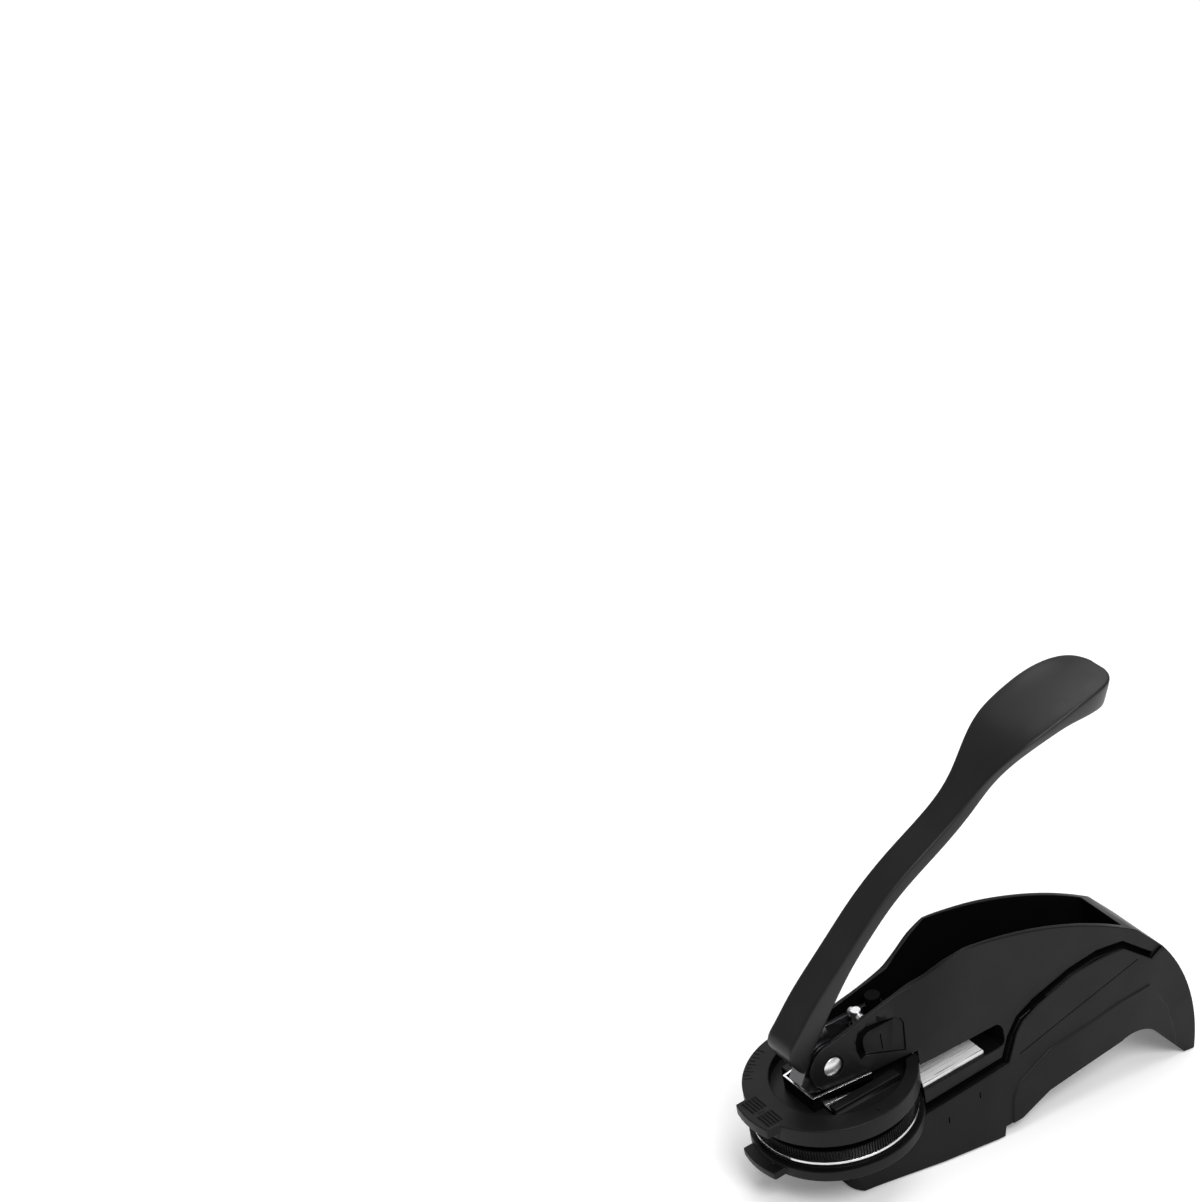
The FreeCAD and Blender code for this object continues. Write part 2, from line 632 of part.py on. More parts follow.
def lever_side(top, under, nose, half):
    """Solid between an upper and a lower side curve, joined by the nose and a straight tip."""
    edges = [spline(top), spline(under), spline([under[-1]] + nose + [top[0]])]
    edges.append(Part.makeLine(Vector(top[-1][0], 0, top[-1][1]), Vector(under[0][0], 0, under[0][1])))
    solid = Part.Face(Part.Wire(Part.__sortEdges__(edges))).extrude(Vector(0, 2 * half, 0))
    solid.translate(Vector(0, -half, 0))
    return solid


def make_lever_cover():
    """Moulded lever: a narrow hollow neck that swells into a dished spoon."""
    half = value("lever_half_width")
    spoon = value("spoon_half_width")
    side = [(84.0, half), (93.0, half + 2.0), (101.0, spoon - 2.7), (109.0, spoon - 0.3),
            (118.0, spoon), (124.5, spoon - 0.8), (130.0, spoon - 3.2), (133.8, spoon - 6.7),
            (135.4, 2.6), (135.8, 0.0)]
    curve = Part.BSplineCurve()
    curve.interpolate(Points=[Vector(x, y, -5.0) for x, y in side],
                      InitialTangent=Vector(1, 0, 0), FinalTangent=Vector(0, -1, 0))
    left = curve.toShape()
    right = left.mirror(Vector(0, 0, 0), Vector(0, 1, 0))
    corners = [Vector(84.0, half, -5.0), Vector(-20.0, half, -5.0), Vector(-20.0, -half, -5.0),
               Vector(84.0, -half, -5.0)]
    wire = Part.Wire(Part.__sortEdges__([left, right] + Part.makePolygon(corners).Edges))
    column = Part.Face(wire).extrude(Vector(0, 0, 60.0))
    solid = lever_side(LEVER_TOP, LEVER_UNDER, LEVER_NOSE, spoon + 1.0).common(column)
    wall = value("lever_wall")
    roof = [(x, z - wall) for x, z in LEVER_TOP]
    wide = lever_side([(-5.2, 14.2)] + roof[1:6], [(50.0, 10.0), (-6.2, 2.0)], [(-6.3, 8.0)],
                      half - wall)
    socket = side_prism([Vector(x, 0, z) for x, z in ARM_END], value("cam_half_width"))
    solid = solid.cut([wide, socket])
    along, above, back = SPOON_ARC
    bowl = 60.0
    hub = Vector(along, 0, above)
    start = Rotation(Vector(0, 1, 0), -13.0)
    centre = hub + start.multVec(Vector(0, 0, back + bowl - value("spoon_dish")))
    disc = Part.Face(Part.Wire(Part.makeCircle(bowl, centre, start.multVec(Vector(1, 0, 0)))))
    dish = disc.revolve(hub, Vector(0, 1, 0), 53.0)
    return free_shape("lever_cover", solid.cut(dish), LEVER)


def make_pivot_rivet():
    """Rivet through ears, frame plates and lever: a shank with a domed head at each end."""
    body = new_body("pivot_rivet", PIVOT_PLACE)
    pin = size("pin_radius")
    head = size("rivet_head_radius")
    flat = size("ear_flat")
    top = flat + size("rivet_head_height")
    dome = size("rivet_dome")
    profile = sketch_on(body, "rivet_profile", "XY_Plane")
    outline(profile, [(0.0, -top), (head, -flat, dome), (pin, -flat), (pin, flat), (head, flat),
                      (0.0, top, dome)])
    turned = body.newObject("PartDesign::Revolution", "rivet_turned")
    turned.Profile = profile
    turned.ReferenceAxis = (profile, ["V_Axis"])
    turned.Angle = 360.0
    finish(body, turned, True)
    return body


# ---------------------------------------------------------------- frame
def frame_outline(sketch):
    """C-shaped plate: nose round the pivot, upper arm, column behind the throat, lower arm."""
    nose = size("ear_radius") - 1.4
    low = size("jaw_bottom") + 0.8
    arm = SEAT - 0.8
    back = size("throat_rear") + 2.2
    return outline(sketch, [
        (PIVOT_X - nose, PIVOT_Z, -nose), (PIVOT_X, PIVOT_Z + nose, -nose), (22.0, 13.0),
        (29.5, size("channel_floor") - 0.6), (60.0, size("channel_floor") - 0.6), (70.0, -3.0),
        (70.0, low + 2.7), (60.0, low), (-4.0, low), (-4.0, arm),
        (26.5, arm), (29.5, size("jaw_top") - 1.0), (back - 2.5, size("jaw_top") - 1.0),
        (back, size("jaw_top") + 1.5), (back, size("throat_roof") - 2.0),
        (back - 3.0, size("throat_roof") + 1.1), (size("throat_front") + 1.1, size("throat_roof") + 1.1),
        (25.6, size("beam_underside") + 1.1), (PIVOT_X, PIVOT_Z - nose)])


FRAME_PINS = [(62.5, -8.0), (62.5, -20.5)]


def make_frame_plate(label, near):
    """Steel side plate of the C-shaped frame."""
    body = new_body(label, JAW)
    lift = size("frame_inner") if near else -size("frame_inner")
    frame_outline(sketch_on(body, label + "_form", "XZ_Plane", lift))
    pad(body, body.Group[-1], size("frame_gauge"), down=not near)
    holes = sketch_on(body, label + "_holes", "XZ_Plane", lift)
    circle(holes, PIVOT_X, PIVOT_Z, size("pin_radius") + size("running_gap"))
    for x, z in FRAME_PINS:
        circle(holes, x, z, size("frame_pin_radius") + size("running_gap"))
    pocket(body, holes, both=True)
    return body


def make_frame_pin(label, place):
    """Steel pin that ties the two frame plates together inside the shell."""
    pin = DOC.addObject("Part::Cylinder", label)
    pin.Label = label
    pin.setExpression("Radius", "Sizes.frame_pin_radius")
    pin.setExpression("Height", "2 * Sizes.frame_pin_half")
    seat = Vector(place[0], value("frame_pin_half"), place[1])
    pin.Placement = JAW.multiply(Placement(seat, Rotation(Vector(1, 0, 0), 90)))
    return pin


def make_throat_plate():
    """Brushed steel paper rest on the lower jaw, its side edges turned down."""
    body = new_body("throat_plate", JAW)
    top = sketch_on(body, "plate_form", "XY_Plane", size("jaw_top"))
    box_outline(top, size("holder_radius") - 5.0, size("throat_rear") - 7.0, -size("plate_half_width"),
                size("plate_half_width"))
    pad(body, top, size("plate_gauge"))
    rims = sketch_on(body, "plate_front", "XY_Plane", size("jaw_top") + size("plate_gauge"))
    circle(rims, 0.0, 0.0, size("holder_radius") + size("die_seat_gap") + 0.2)
    pocket(body, rims)
    return body


def make_lever_bumper():
    """Rubber buffer that stops the lever, standing on the channel floor."""
    post = DOC.addObject("Part::Cylinder", "lever_bumper")
    post.Label = "lever_bumper"
    post.setExpression("Radius", "Sizes.bumper_radius")
    post.setExpression("Height", "Sizes.bumper_top - Sizes.channel_floor")
    seat = Vector(value("bumper_place"), 0, value("channel_floor"))
    post.Placement = JAW.multiply(Placement(seat, Rotation()))
    return post


# ---------------------------------------------------------------- body shell
SHELL_SECTIONS = [
    # x, then how much narrower than the lower jaw each side is at z = 30 and at z = 1
    (-14.0, 6.9, 5.7),
    (-2.0, 7.0, 4.6),
    (8.0, 7.9, 3.2),
    (20.0, 8.3, 1.9),
    (30.0, 5.9, 1.0),
    (38.0, 2.9, 0.8),
    (46.0, 1.6, 0.7),
    (57.0, 1.3, 0.5),
    (71.0, 1.2, 0.4),
    (86.0, 1.2, 0.4),
    (102.0, 1.2, 0.4),
    (118.0, 1.2, 0.4),
]


def shell_outline():
    """Side view of the body shell: ear, beam, rear walls, column and lower jaw."""
    ear = size("ear_radius")
    roof = size("throat_roof")
    step = size("holder_radius") - 5.5
    rear = size("throat_rear")
    jaw = size("jaw_top")
    return [
        (PIVOT_X - ear, PIVOT_Z, ear), (PIVOT_X, PIVOT_Z - ear, ear),
        (step, size("beam_underside")),
        (step, roof), (rear - 2.0, roof - 0.8), (rear, roof - 4.0, -4.0),
        (rear, jaw + 2.0), (rear - 2.2, jaw, -2.2), (step, jaw), (step, SEAT),
        (-size("jaw_front"), SEAT), (-size("jaw_front"), size("jaw_bottom")),
        (60.0, size("jaw_bottom")), (size("wall_rear") - 5.0, -20.5), (size("shell_rear") - 1.8, -18.0),
        (size("shell_rear"), -11.0), (size("wall_rear"), -0.3), (44.5, size("wall_top_front"), 143.0),
        (38.0, 24.4), (32.0, 22.0), (27.0, 20.3), (21.0, 19.3), (14.0, 18.0), (PIVOT_X, PIVOT_Z + ear)]


FLANK_PANEL = [(6.8, 7.0), (5.8, 9.0), (6.0, 12.0), (7.2, 13.8), (9.8, 14.6), (14.2, 14.0), (19.6, 13.2),
               (21.4, 12.2), (22.0, 10.5), (21.0, 5.3), (20.4, 2.4)]


# Band along the base cover's top edge, in the base frame.
SEAM_BAND = [(20.0, 15.0), (54.8, 22.4), (56.6, 31.0), (59.6, 36.0), (65.2, 38.8), (78.0, 44.4), (87.5, 46.8),
             (97.0, 46.7), (107.8, 39.5), (108.9, 41.2), (97.4, 49.0), (87.5, 49.3), (77.3, 46.7),
             (64.4, 41.2), (58.4, 37.2), (55.2, 31.6), (53.6, 24.8), (20.0, 18.0)]


def shell_loft(label, inset):
    """Tapering block round the shell's side view, its sides set in by the inset."""
    body = new_body(label, JAW)
    sections = []
    jaw = size("jaw_half_width") - inset
    for index, (x, top_step, middle_step) in enumerate(SHELL_SECTIONS):
        sketch = sketch_on(body, "%s_section_%d" % (label, index), "YZ_Plane", x)
        top = jaw - top_step
        middle = jaw - middle_step
        outline(sketch, [(-jaw, -45.0), (jaw, -45.0), (jaw, -12.0), (middle, 1.0), (top, 30.0),
                         (-top, 30.0), (-middle, 1.0), (-jaw, -12.0)])
        sections.append(sketch)
    loft = body.newObject("PartDesign::AdditiveLoft", label + "_loft")
    loft.Profile = sections[0]
    loft.Sections = sections[1:]
    loft.Ruled = False
    finish(body, loft, True)
    return body


def make_body_shell():
    """C-shaped shell: ears and beam over the throat, rear walls, column and lower jaw."""
    body = shell_loft("shell_form", 0.0)
    trim_to(body, "shell_trim", shell_outline())
    rims = sketch_on(body, "holder_seat", "XY_Plane", size("beam_underside"))
    circle(rims, 0.0, 0.0, size("holder_radius") + size("die_seat_gap"))
    pocket(body, rims, size("beam_underside") - SEAT)
    front = size("channel_front_half")
    wide = size("channel_rear_half")
    channel = sketch_on(body, "channel_plan", "XY_Plane", size("channel_floor"))
    outline(channel, [(-20.0, -front), (27.0, -front), (31.5, -front - 1.6), (44.5, -wide),
                      (size("channel_rear"), -wide), (size("channel_rear"), wide), (44.5, wide),
                      (31.5, front + 1.6), (27.0, front), (-20.0, front)])
    pocket(body, channel, up=True)
    well = sketch_on(body, "channel_well", "XY_Plane", size("channel_floor"))
    box_outline(well, size("well_front"), size("channel_rear"), -wide, wide)
    pocket(body, well, size("well_depth"))
    slot = sketch_on(body, "ear_slot", "XY_Plane", size("channel_floor"))
    box_outline(slot, -20.0, size("carriage_rear") + 0.6, -front, front)
    pocket(body, slot, 12.0)
    bore = sketch_on(body, "rod_bore", "XY_Plane", size("channel_floor"))
    circle(bore, size("rod_place"), 0.0, size("rod_radius") + size("running_gap"))
    pocket(body, bore, 6.0)
    pivot = sketch_on(body, "pivot_bore", "XZ_Plane")
    circle(pivot, PIVOT_X, PIVOT_Z, size("pin_radius") + size("running_gap"))
    pocket(body, pivot, both=True)
    for name, lift, up in (("near", size("ear_flat"), True), ("far", -size("ear_flat"), False)):
        seat = sketch_on(body, "rivet_seat_" + name, "XZ_Plane", lift)
        circle(seat, PIVOT_X, PIVOT_Z, size("rivet_head_radius") + 0.4)
        pocket(body, seat, up=up)
    for name, lift, up in (("near", size("frame_inner"), True), ("far", -size("frame_inner"), False)):
        slot = sketch_on(body, "frame_slot_" + name, "XZ_Plane", lift)
        frame_outline(slot)
        pocket(body, slot, size("frame_gauge"), up=up)
    pins = sketch_on(body, "pin_bores", "XZ_Plane")
    for x, z in FRAME_PINS:
        circle(pins, x, z, size("frame_pin_radius") + size("running_gap"))
    pocket(body, pins, size("frame_pin_half") * 2.0, both=True)
    rail = sketch_on(body, "guide_rail", "XY_Plane", SEAT)
    box_outline(rail, -size("jaw_front") + 1.0, size("holder_radius") - 1.5,
                -size("rail_half_width"), size("rail_half_width"))
    pad(body, rail, size("rail_height"))
    flanks = side_recess("flank_panels", JAW, FLANK_PANEL, shell_loft("flank_core", size("flank_depth")))
    seam = side_recess("seam_groove", WORLD, SEAM_BAND, shell_loft("seam_core", size("seam_depth")))
    return cut_away("body_shell", body, [screw_group("shell_screw_holes", "screw_radius", 0.05), flanks,
                                         seam])


# ---------------------------------------------------------------- base cover, pad and screws
SCREW_PLACES = [(11.0, 8.5), (11.0, -8.5), (43.0, 8.5), (43.0, -8.5)]
SCREW_LENGTH = 13.0


def screw_group(label, alias, gap):
    """Four upright cylinders where the base screws run, above the desk pad."""
    low = value("pad_thickness")
    solids = [Part.makeCylinder(value(alias) + gap, SCREW_LENGTH, Vector(x, y, low))
              for x, y in SCREW_PLACES]
    return free_shape(label, Part.makeCompound(solids), WORLD)


def make_base_screws():
    """Countersunk screws that hold the base cover to the lower jaw, as one group."""
    low = value("pad_thickness") + 0.1
    solids = []
    for x, y in SCREW_PLACES:
        shank = Part.makeCylinder(value("screw_radius"), SCREW_LENGTH - 0.3, Vector(x, y, low))
        head = Part.makeCone(value("screw_head_radius"), value("screw_radius"),
                             value("screw_head_height"), Vector(x, y, low))
        solids.append(shank.fuse(head).removeSplitter())
    return free_shape("base_screws", Part.makeCompound(solids), WORLD)


COVER_SECTIONS = [
    # x, how much narrower the foot is than the base, height of the crease, and how much wider
    # each side is there than the lower jaw
    (-12.0, 0.0, 15.0, 1.7),
    (28.0, 0.0, 18.0, 1.8),
    (54.0, 0.2, 23.0, 1.4),
    (68.0, 1.3, 25.5, 1.2),
    (89.0, 3.0, 34.5, 1.1),
    (108.0, 4.4, 40.0, 1.0),
    (134.0, 5.0, 42.0, 0.9),
]
ARCH_PANEL = [(55.0, -1.0), (56.0, 12.0), (59.0, 16.0), (70.0, 22.6), (85.0, 26.0), (96.0, 29.0),
              (108.0, 31.0), (111.0, 27.0), (116.0, 20.0), (120.0, 9.0), (122.0, -1.0)]


def cover_outline():
    """Side view of the base cover: flat base, arched underside, tail foot and top edge."""
    low = size("pad_proud")
    rear = size("base_rear")
    return [
        (rear, low), (rear + 0.5, 3.2), (rear + 6.6, 3.8), (70.0, 8.8),
        (98.0, 14.6), (114.0, 10.6, -13.0), (size("tail_front"), 0.0), (size("tail_rear"), 0.0),
        (112.6, 42.6, 62.0), (108.3, 39.8), (97.0, 47.3), (78.0, 45.0, 70.0), (65.4, 39.4),
        (60.0, 35.8), (57.2, 31.0, 9.0), (55.2, 23.1), (25.0, 16.9), (-8.0, 11.0), (-8.0, low)]


def cover_loft(label, inset):
    """Block that widens from the jaw down to the base, its sides set in by the inset."""
    body = new_body(label, WORLD)
    sections = []
    for index, (x, foot_step, crease, waist_step) in enumerate(COVER_SECTIONS):
        sketch = sketch_on(body, "%s_section_%d" % (label, index), "YZ_Plane", x)
        foot = size("base_half_width") - foot_step - inset
        waist = size("jaw_half_width") + waist_step - inset
        outline(sketch, [(-foot, 0.0), (foot, 0.0), (waist, crease), (waist - 0.3, 60.0),
                         (-waist + 0.3, 60.0), (-waist, crease)])
        sections.append(sketch)
    loft = body.newObject("PartDesign::AdditiveLoft", label + "_loft")
    loft.Profile = sections[0]
    loft.Sections = sections[1:]
    loft.Ruled = False
    finish(body, loft, True)
    return body


def make_base_cover():
    """Outer cover: broad base under the jaw, side panels and the arched tail."""
    body = cover_loft("cover_form", 0.0)
    wide = size("base_half_width")
    trim_to(body, "cover_trim", cover_outline())
    plan = sketch_on(body, "cover_plan", "XY_Plane")
    box_outline(plan, -BEYOND, BEYOND, -BEYOND, BEYOND)
    front = size("base_front")
    corner = size("base_corner")
    rear = size("tail_rear") + corner
    outline(plan, [(front + corner, -wide, corner), (rear, -wide), (rear, wide),
                   (front + corner, wide), (front, wide - corner, corner), (front, -wide + corner)])
    pocket(body, plan, both=True, lean=Vector(-value("front_lean"), 0, 1))
    seat = sketch_on(body, "pad_seat", "XY_Plane", size("pad_thickness"))
    pad_outline(seat, 0.1)
    pocket(body, seat)
    panels = cover_loft("arch_panels", -size("arch_rise"))
    trim_to(panels, "panel_side", cover_outline())
    trim_to(panels, "panel_edge", ARCH_PANEL)
    whole = DOC.addObject("Part::Fuse", "cover_with_panels")
    whole.Base = body
    whole.Tool = panels
    tools = [cover_cavity(), screw_group("cover_screw_holes", "screw_radius", 0.2), head_seats()]
    return cut_away("base_cover", whole, tools)


def pad_outline(sketch, gap):
    margin = size("pad_margin")
    half = size("base_half_width") - margin + gap
    front = size("base_front") + margin - gap
    rear = size("base_rear") - margin + gap
    cut = 4.0
    return outline(sketch, [(front + cut, -half, cut), (rear, -half), (rear, half),
                            (front + cut, half), (front, half - cut, cut), (front, -half + cut)])


def cover_cavity():
    """Room for the body shell inside the cover, open upwards."""
    tool = new_body("cover_cavity", JAW)
    gap = size("cover_gap")
    sketch = sketch_on(tool, "cavity_form", "XZ_Plane")
    front = -size("jaw_front") - gap
    low = size("jaw_bottom") - gap
    rear = size("shell_rear") + gap
    outline(sketch, [(front, 60.0), (front, low), (60.0, low), (size("wall_rear") - 5.0, -gap - 20.5),
                     (size("shell_rear") - 1.8, -gap - 18.0), (rear, -11.0), (rear, 60.0)])
    pad(tool, sketch, (size("jaw_half_width") + gap) * 2.0, both=True)
    return tool


def head_seats():
    """Countersinks for the screw heads."""
    low = value("pad_thickness")
    solids = [Part.makeCone(value("screw_head_radius") + 0.15, value("screw_radius") + 0.15,
                            value("screw_head_height") + 0.1, Vector(x, y, low - 0.02))
              for x, y in SCREW_PLACES]
    return free_shape("head_seats", Part.makeCompound(solids), WORLD)


def make_desk_pad():
    """Rubber pad let into the underside of the base."""
    body = new_body("desk_pad", WORLD)
    form = sketch_on(body, "pad_form", "XY_Plane")
    pad_outline(form, 0.0)
    pad(body, form, size("pad_thickness"))
    return body


# ---------------------------------------------------------------- assembly
def make_all():
    pieces = [
        make_body_shell(),
        make_base_cover(),
        make_desk_pad(),
        make_base_screws(),
        make_frame_plate("frame_plate_left", False),
        make_frame_plate("frame_plate_right", True),
        make_frame_pin("frame_pin_upper", FRAME_PINS[0]),
        make_frame_pin("frame_pin_lower", FRAME_PINS[1]),
        make_throat_plate(),
        make_lever_bumper(),
        make_pivot_rivet(),
        make_lever_core(),
        make_lever_cover(),
        make_carriage(),
        make_lift_rod(),
        make_cross_pin(),
        make_lift_spring(),
        make_upper_holder(),
        make_upper_die(),
        make_lower_holder(),
        make_lower_die(),
        make_die_ring(),
    ]
    DOC.recompute()
    for item in DOC.Objects:
        if "Invalid" in item.State or "Error" in item.State:
            raise RuntimeError("%s did not recompute: %s" % (item.Label, item.State))
    os.makedirs("parts", exist_ok=True)
    for piece in pieces:
        if piece.Shape.isNull() or not piece.Shape.isValid():
            raise RuntimeError("%s has no valid shape" % piece.Label)
        piece.Shape.exportStep("parts/%s.step" % piece.Label)


make_all()
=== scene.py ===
import json
import math

import bmesh
import bpy
from mathutils import Matrix, Vector


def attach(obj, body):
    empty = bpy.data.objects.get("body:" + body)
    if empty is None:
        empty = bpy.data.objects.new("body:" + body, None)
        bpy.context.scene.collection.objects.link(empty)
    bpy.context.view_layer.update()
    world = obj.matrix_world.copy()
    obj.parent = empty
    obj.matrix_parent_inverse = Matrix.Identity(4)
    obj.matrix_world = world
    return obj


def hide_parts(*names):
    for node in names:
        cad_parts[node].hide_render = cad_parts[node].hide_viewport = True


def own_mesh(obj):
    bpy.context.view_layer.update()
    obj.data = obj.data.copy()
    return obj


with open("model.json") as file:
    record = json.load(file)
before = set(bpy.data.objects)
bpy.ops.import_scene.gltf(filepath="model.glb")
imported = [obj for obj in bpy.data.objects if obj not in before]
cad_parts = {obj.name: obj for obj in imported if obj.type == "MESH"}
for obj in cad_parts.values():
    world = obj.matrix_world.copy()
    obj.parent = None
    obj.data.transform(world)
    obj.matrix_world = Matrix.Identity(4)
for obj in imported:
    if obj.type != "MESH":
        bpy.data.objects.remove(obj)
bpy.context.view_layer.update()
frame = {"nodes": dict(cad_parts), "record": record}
SCENE = bpy.context.scene
SCENE.view_settings.view_transform = "Standard"

MM = 0.001                          # the scene is in metres, most sizes below in millimetres
DIE_AXIS_X = -26.0                  # where the base's frame has its zero, in the part's frame

# ---------------------------------------------------------------- camera
IMAGE_HEIGHT = 1202.0               # longer side of the photograph, in pixels
FOCAL_LENGTH = 4001.8               # in pixels of the photograph
SENSOR_WIDTH = 36.0
CAMERA_ANGLES = (-32.86, 27.41, -0.68)              # azimuth, elevation and roll, in degrees
CAMERA_PLACE = (-0.06611, 0.16444, 1.1599)          # to its own right, up and back, in metres


def make_camera():
    """Pinhole camera at the photograph's angle; the image is taken as 1200 x 1202."""
    azimuth, elevation, roll = (math.radians(angle) for angle in CAMERA_ANGLES)
    back = Vector((math.sin(azimuth) * math.cos(elevation),
                   -math.cos(azimuth) * math.cos(elevation), math.sin(elevation)))
    right = Vector((math.cos(azimuth), math.sin(azimuth), 0))
    up = back.cross(right)
    side = right * math.cos(roll) + up * math.sin(roll)
    top = up * math.cos(roll) - right * math.sin(roll)
    data = bpy.data.cameras.new("camera")
    data.sensor_fit = "AUTO"
    data.sensor_width = SENSOR_WIDTH
    data.lens = FOCAL_LENGTH * SENSOR_WIDTH / IMAGE_HEIGHT
    data.clip_start = 0.05
    data.clip_end = 20.0
    camera = bpy.data.objects.new("camera", data)
    SCENE.collection.objects.link(camera)
    camera.matrix_world = Matrix((
        (side.x, top.x, back.x, 0), (side.y, top.y, back.y, 0), (side.z, top.z, back.z, 0),
        (0, 0, 0, 1)))
    across, above, away = CAMERA_PLACE
    camera.location = side * across + top * above + back * away + Vector((DIE_AXIS_X * MM, 0, 0))
    SCENE.camera = camera


# ---------------------------------------------------------------- node helpers
class Graph:
    """Short names for building a material's nodes."""

    def __init__(self, name):
        self.material = bpy.data.materials.new(name)
        self.material.use_nodes = True
        self.tree = self.material.node_tree
        self.shader = self.tree.nodes["Principled BSDF"]

    def node(self, kind, **inputs):
        """Adds a node; a key that starts with _ is a setting of it, any other an input."""
        made = self.tree.nodes.new(kind)
        for key, amount in inputs.items():
            if key.startswith("_"):
                setattr(made, key[1:], amount)
            else:
                made.inputs[key].default_value = amount
        return made

    def link(self, source, target):
        self.tree.links.new(source, target)


def ramp(graph, source, stops):
    """Turns a value into a shade between two stops, each a place and a grey or a colour."""
    made = graph.node("ShaderNodeValToRGB")
    for element, (place, shade) in zip(made.color_ramp.elements, stops):
        element.position = place
        element.color = (shade, shade, shade, 1) if isinstance(shade, float) else (*shade, 1)
    graph.link(source, made.inputs["Fac"])
    return made.outputs["Color"]


def noise(graph, place, scale, detail, stretch=(1, 1, 1)):
    """Noise with this many features a metre, more of them along a stretched axis."""
    spread = graph.node("ShaderNodeMapping")
    spread.inputs["Scale"].default_value = stretch
    graph.link(place, spread.inputs["Vector"])
    made = graph.node("ShaderNodeTexNoise", Scale=scale, Detail=detail)
    graph.link(spread.outputs["Vector"], made.inputs["Vector"])
    return made.outputs["Fac"]


def bevelled(graph, radius, samples):
    """Normal of softly rounded edges."""
    edge = graph.node("ShaderNodeBevel", Radius=radius)
    edge.samples = samples
    return edge.outputs["Normal"]


def on_edges(graph, soft_normal):
    """Mask that is 1 on edges; its stops are cosines between the rounded and flat normals."""
    flat = graph.node("ShaderNodeNewGeometry").outputs["Normal"]
    turn = graph.node("ShaderNodeVectorMath", _operation="DOT_PRODUCT")
    graph.link(soft_normal, turn.inputs[0])
    graph.link(flat, turn.inputs[1])
    return ramp(graph, turn.outputs["Value"], [(0.80, 1.0), (0.985, 0.0)])


def blend(graph, factor, first, second):
    """Mixes two colours, each a constant or another node's output."""
    made = graph.node("ShaderNodeMix", _data_type="RGBA")
    graph.link(factor, made.inputs["Factor"])
    for socket, item in ((made.inputs["A"], first), (made.inputs["B"], second)):
        if isinstance(item, tuple):
            socket.default_value = (*item, 1)
        else:
            graph.link(item, socket)
    return made.outputs["Result"]


def press(graph, height, normal, strength, distance):
    """Gives the surface a fine relief on top of its rounded edges."""
    bump = graph.node("ShaderNodeBump", Strength=strength, Distance=distance)
    graph.link(height, bump.inputs["Height"])
    graph.link(normal, bump.inputs["Normal"])
    graph.link(bump.outputs["Normal"], graph.shader.inputs["Normal"])


# ---------------------------------------------------------------- materials
PLASTIC_CLOUDS = 55.0               # noise scales, in features a metre
PLASTIC_GLOSS = 90.0
METAL_CLOUDS = 120.0
CLOUD_DARK, CLOUD_PALE = 0.8, 1.25  # shares of a plastic's colour between which it drifts
GRAIN_HEIGHT = 0.0002               # heights of fine relief, in metres
STREAK_HEIGHT = 0.00005
METAL_ROUNDING = 0.0002             # radius of the edge a metal piece shows, in metres


def plastic(name, colour, roughness, spec, grain=2600.0, bump=0.05, round_by=0.0004,
            edge_highlight_tone=3.0):
    """Moulded plastic: fine grain, faint flow clouds, edges painted paler as a highlight."""
    graph = Graph(name)
    place = graph.node("ShaderNodeTexCoord").outputs["Object"]
    cloud = noise(graph, place, PLASTIC_CLOUDS, 4.0)
    fine = noise(graph, place, grain, 2.0)
    dark = tuple(c * CLOUD_DARK for c in colour)
    pale = tuple(c * CLOUD_PALE for c in colour)
    # painted highlight: the edges take the plastic's colour made paler
    highlight_colour = tuple(c * edge_highlight_tone for c in colour)
    normal = bevelled(graph, round_by, 8)
    edges = on_edges(graph, normal)
    body = ramp(graph, cloud, [(0.3, dark), (0.7, pale)])
    graph.link(blend(graph, edges, body, highlight_colour), graph.shader.inputs["Base Color"])
    rough = ramp(graph, noise(graph, place, PLASTIC_GLOSS, 5.0),
                 [(0.3, roughness - 0.05), (0.7, roughness + 0.06)])
    graph.link(rough, graph.shader.inputs["Roughness"])
    press(graph, fine, normal, bump, GRAIN_HEIGHT)
    graph.shader.inputs["Specular IOR Level"].default_value = spec
    return graph.material


def metal(name, colour, roughness, stretch=(1, 1, 1), streaks=1200.0, depth=0.25,
          contrast=(0.3, 0.65), dark_tone=0.72, metallic=1.0, painted_side_shade=None):
    """Metal with fine streaks along one direction; faces that don't look up can be painted dark as
    shade.
    """
    graph = Graph(name)
    space = graph.node("ShaderNodeTexCoord")
    place = space.outputs["Object"]
    lines = noise(graph, place, streaks, 3.0, stretch)
    cloud = noise(graph, place, METAL_CLOUDS, 4.0)
    pale = tuple(min(c * 1.12, 1.0) for c in colour)
    dark = tuple(c * dark_tone for c in colour)
    tone = ramp(graph, lines, [(contrast[0], dark), (contrast[1], pale)])
    if painted_side_shade is not None:
        # painted shade: faces that don't look up take the dark side colour
        split = graph.node("ShaderNodeSeparateXYZ")
        graph.link(space.outputs["Normal"], split.inputs["Vector"])
        upward = ramp(graph, split.outputs["Z"], [(0.88, 0.0), (0.97, 1.0)])
        tone = blend(graph, upward, painted_side_shade, tone)
    graph.link(tone, graph.shader.inputs["Base Color"])
    rough = ramp(graph, cloud, [(0.3, max(roughness - 0.07, 0.03)), (0.7, roughness + 0.08)])
    graph.link(rough, graph.shader.inputs["Roughness"])
    press(graph, lines, bevelled(graph, METAL_ROUNDING, 6), depth, STREAK_HEIGHT)
    graph.shader.inputs["Metallic"].default_value = metallic
    return graph.material


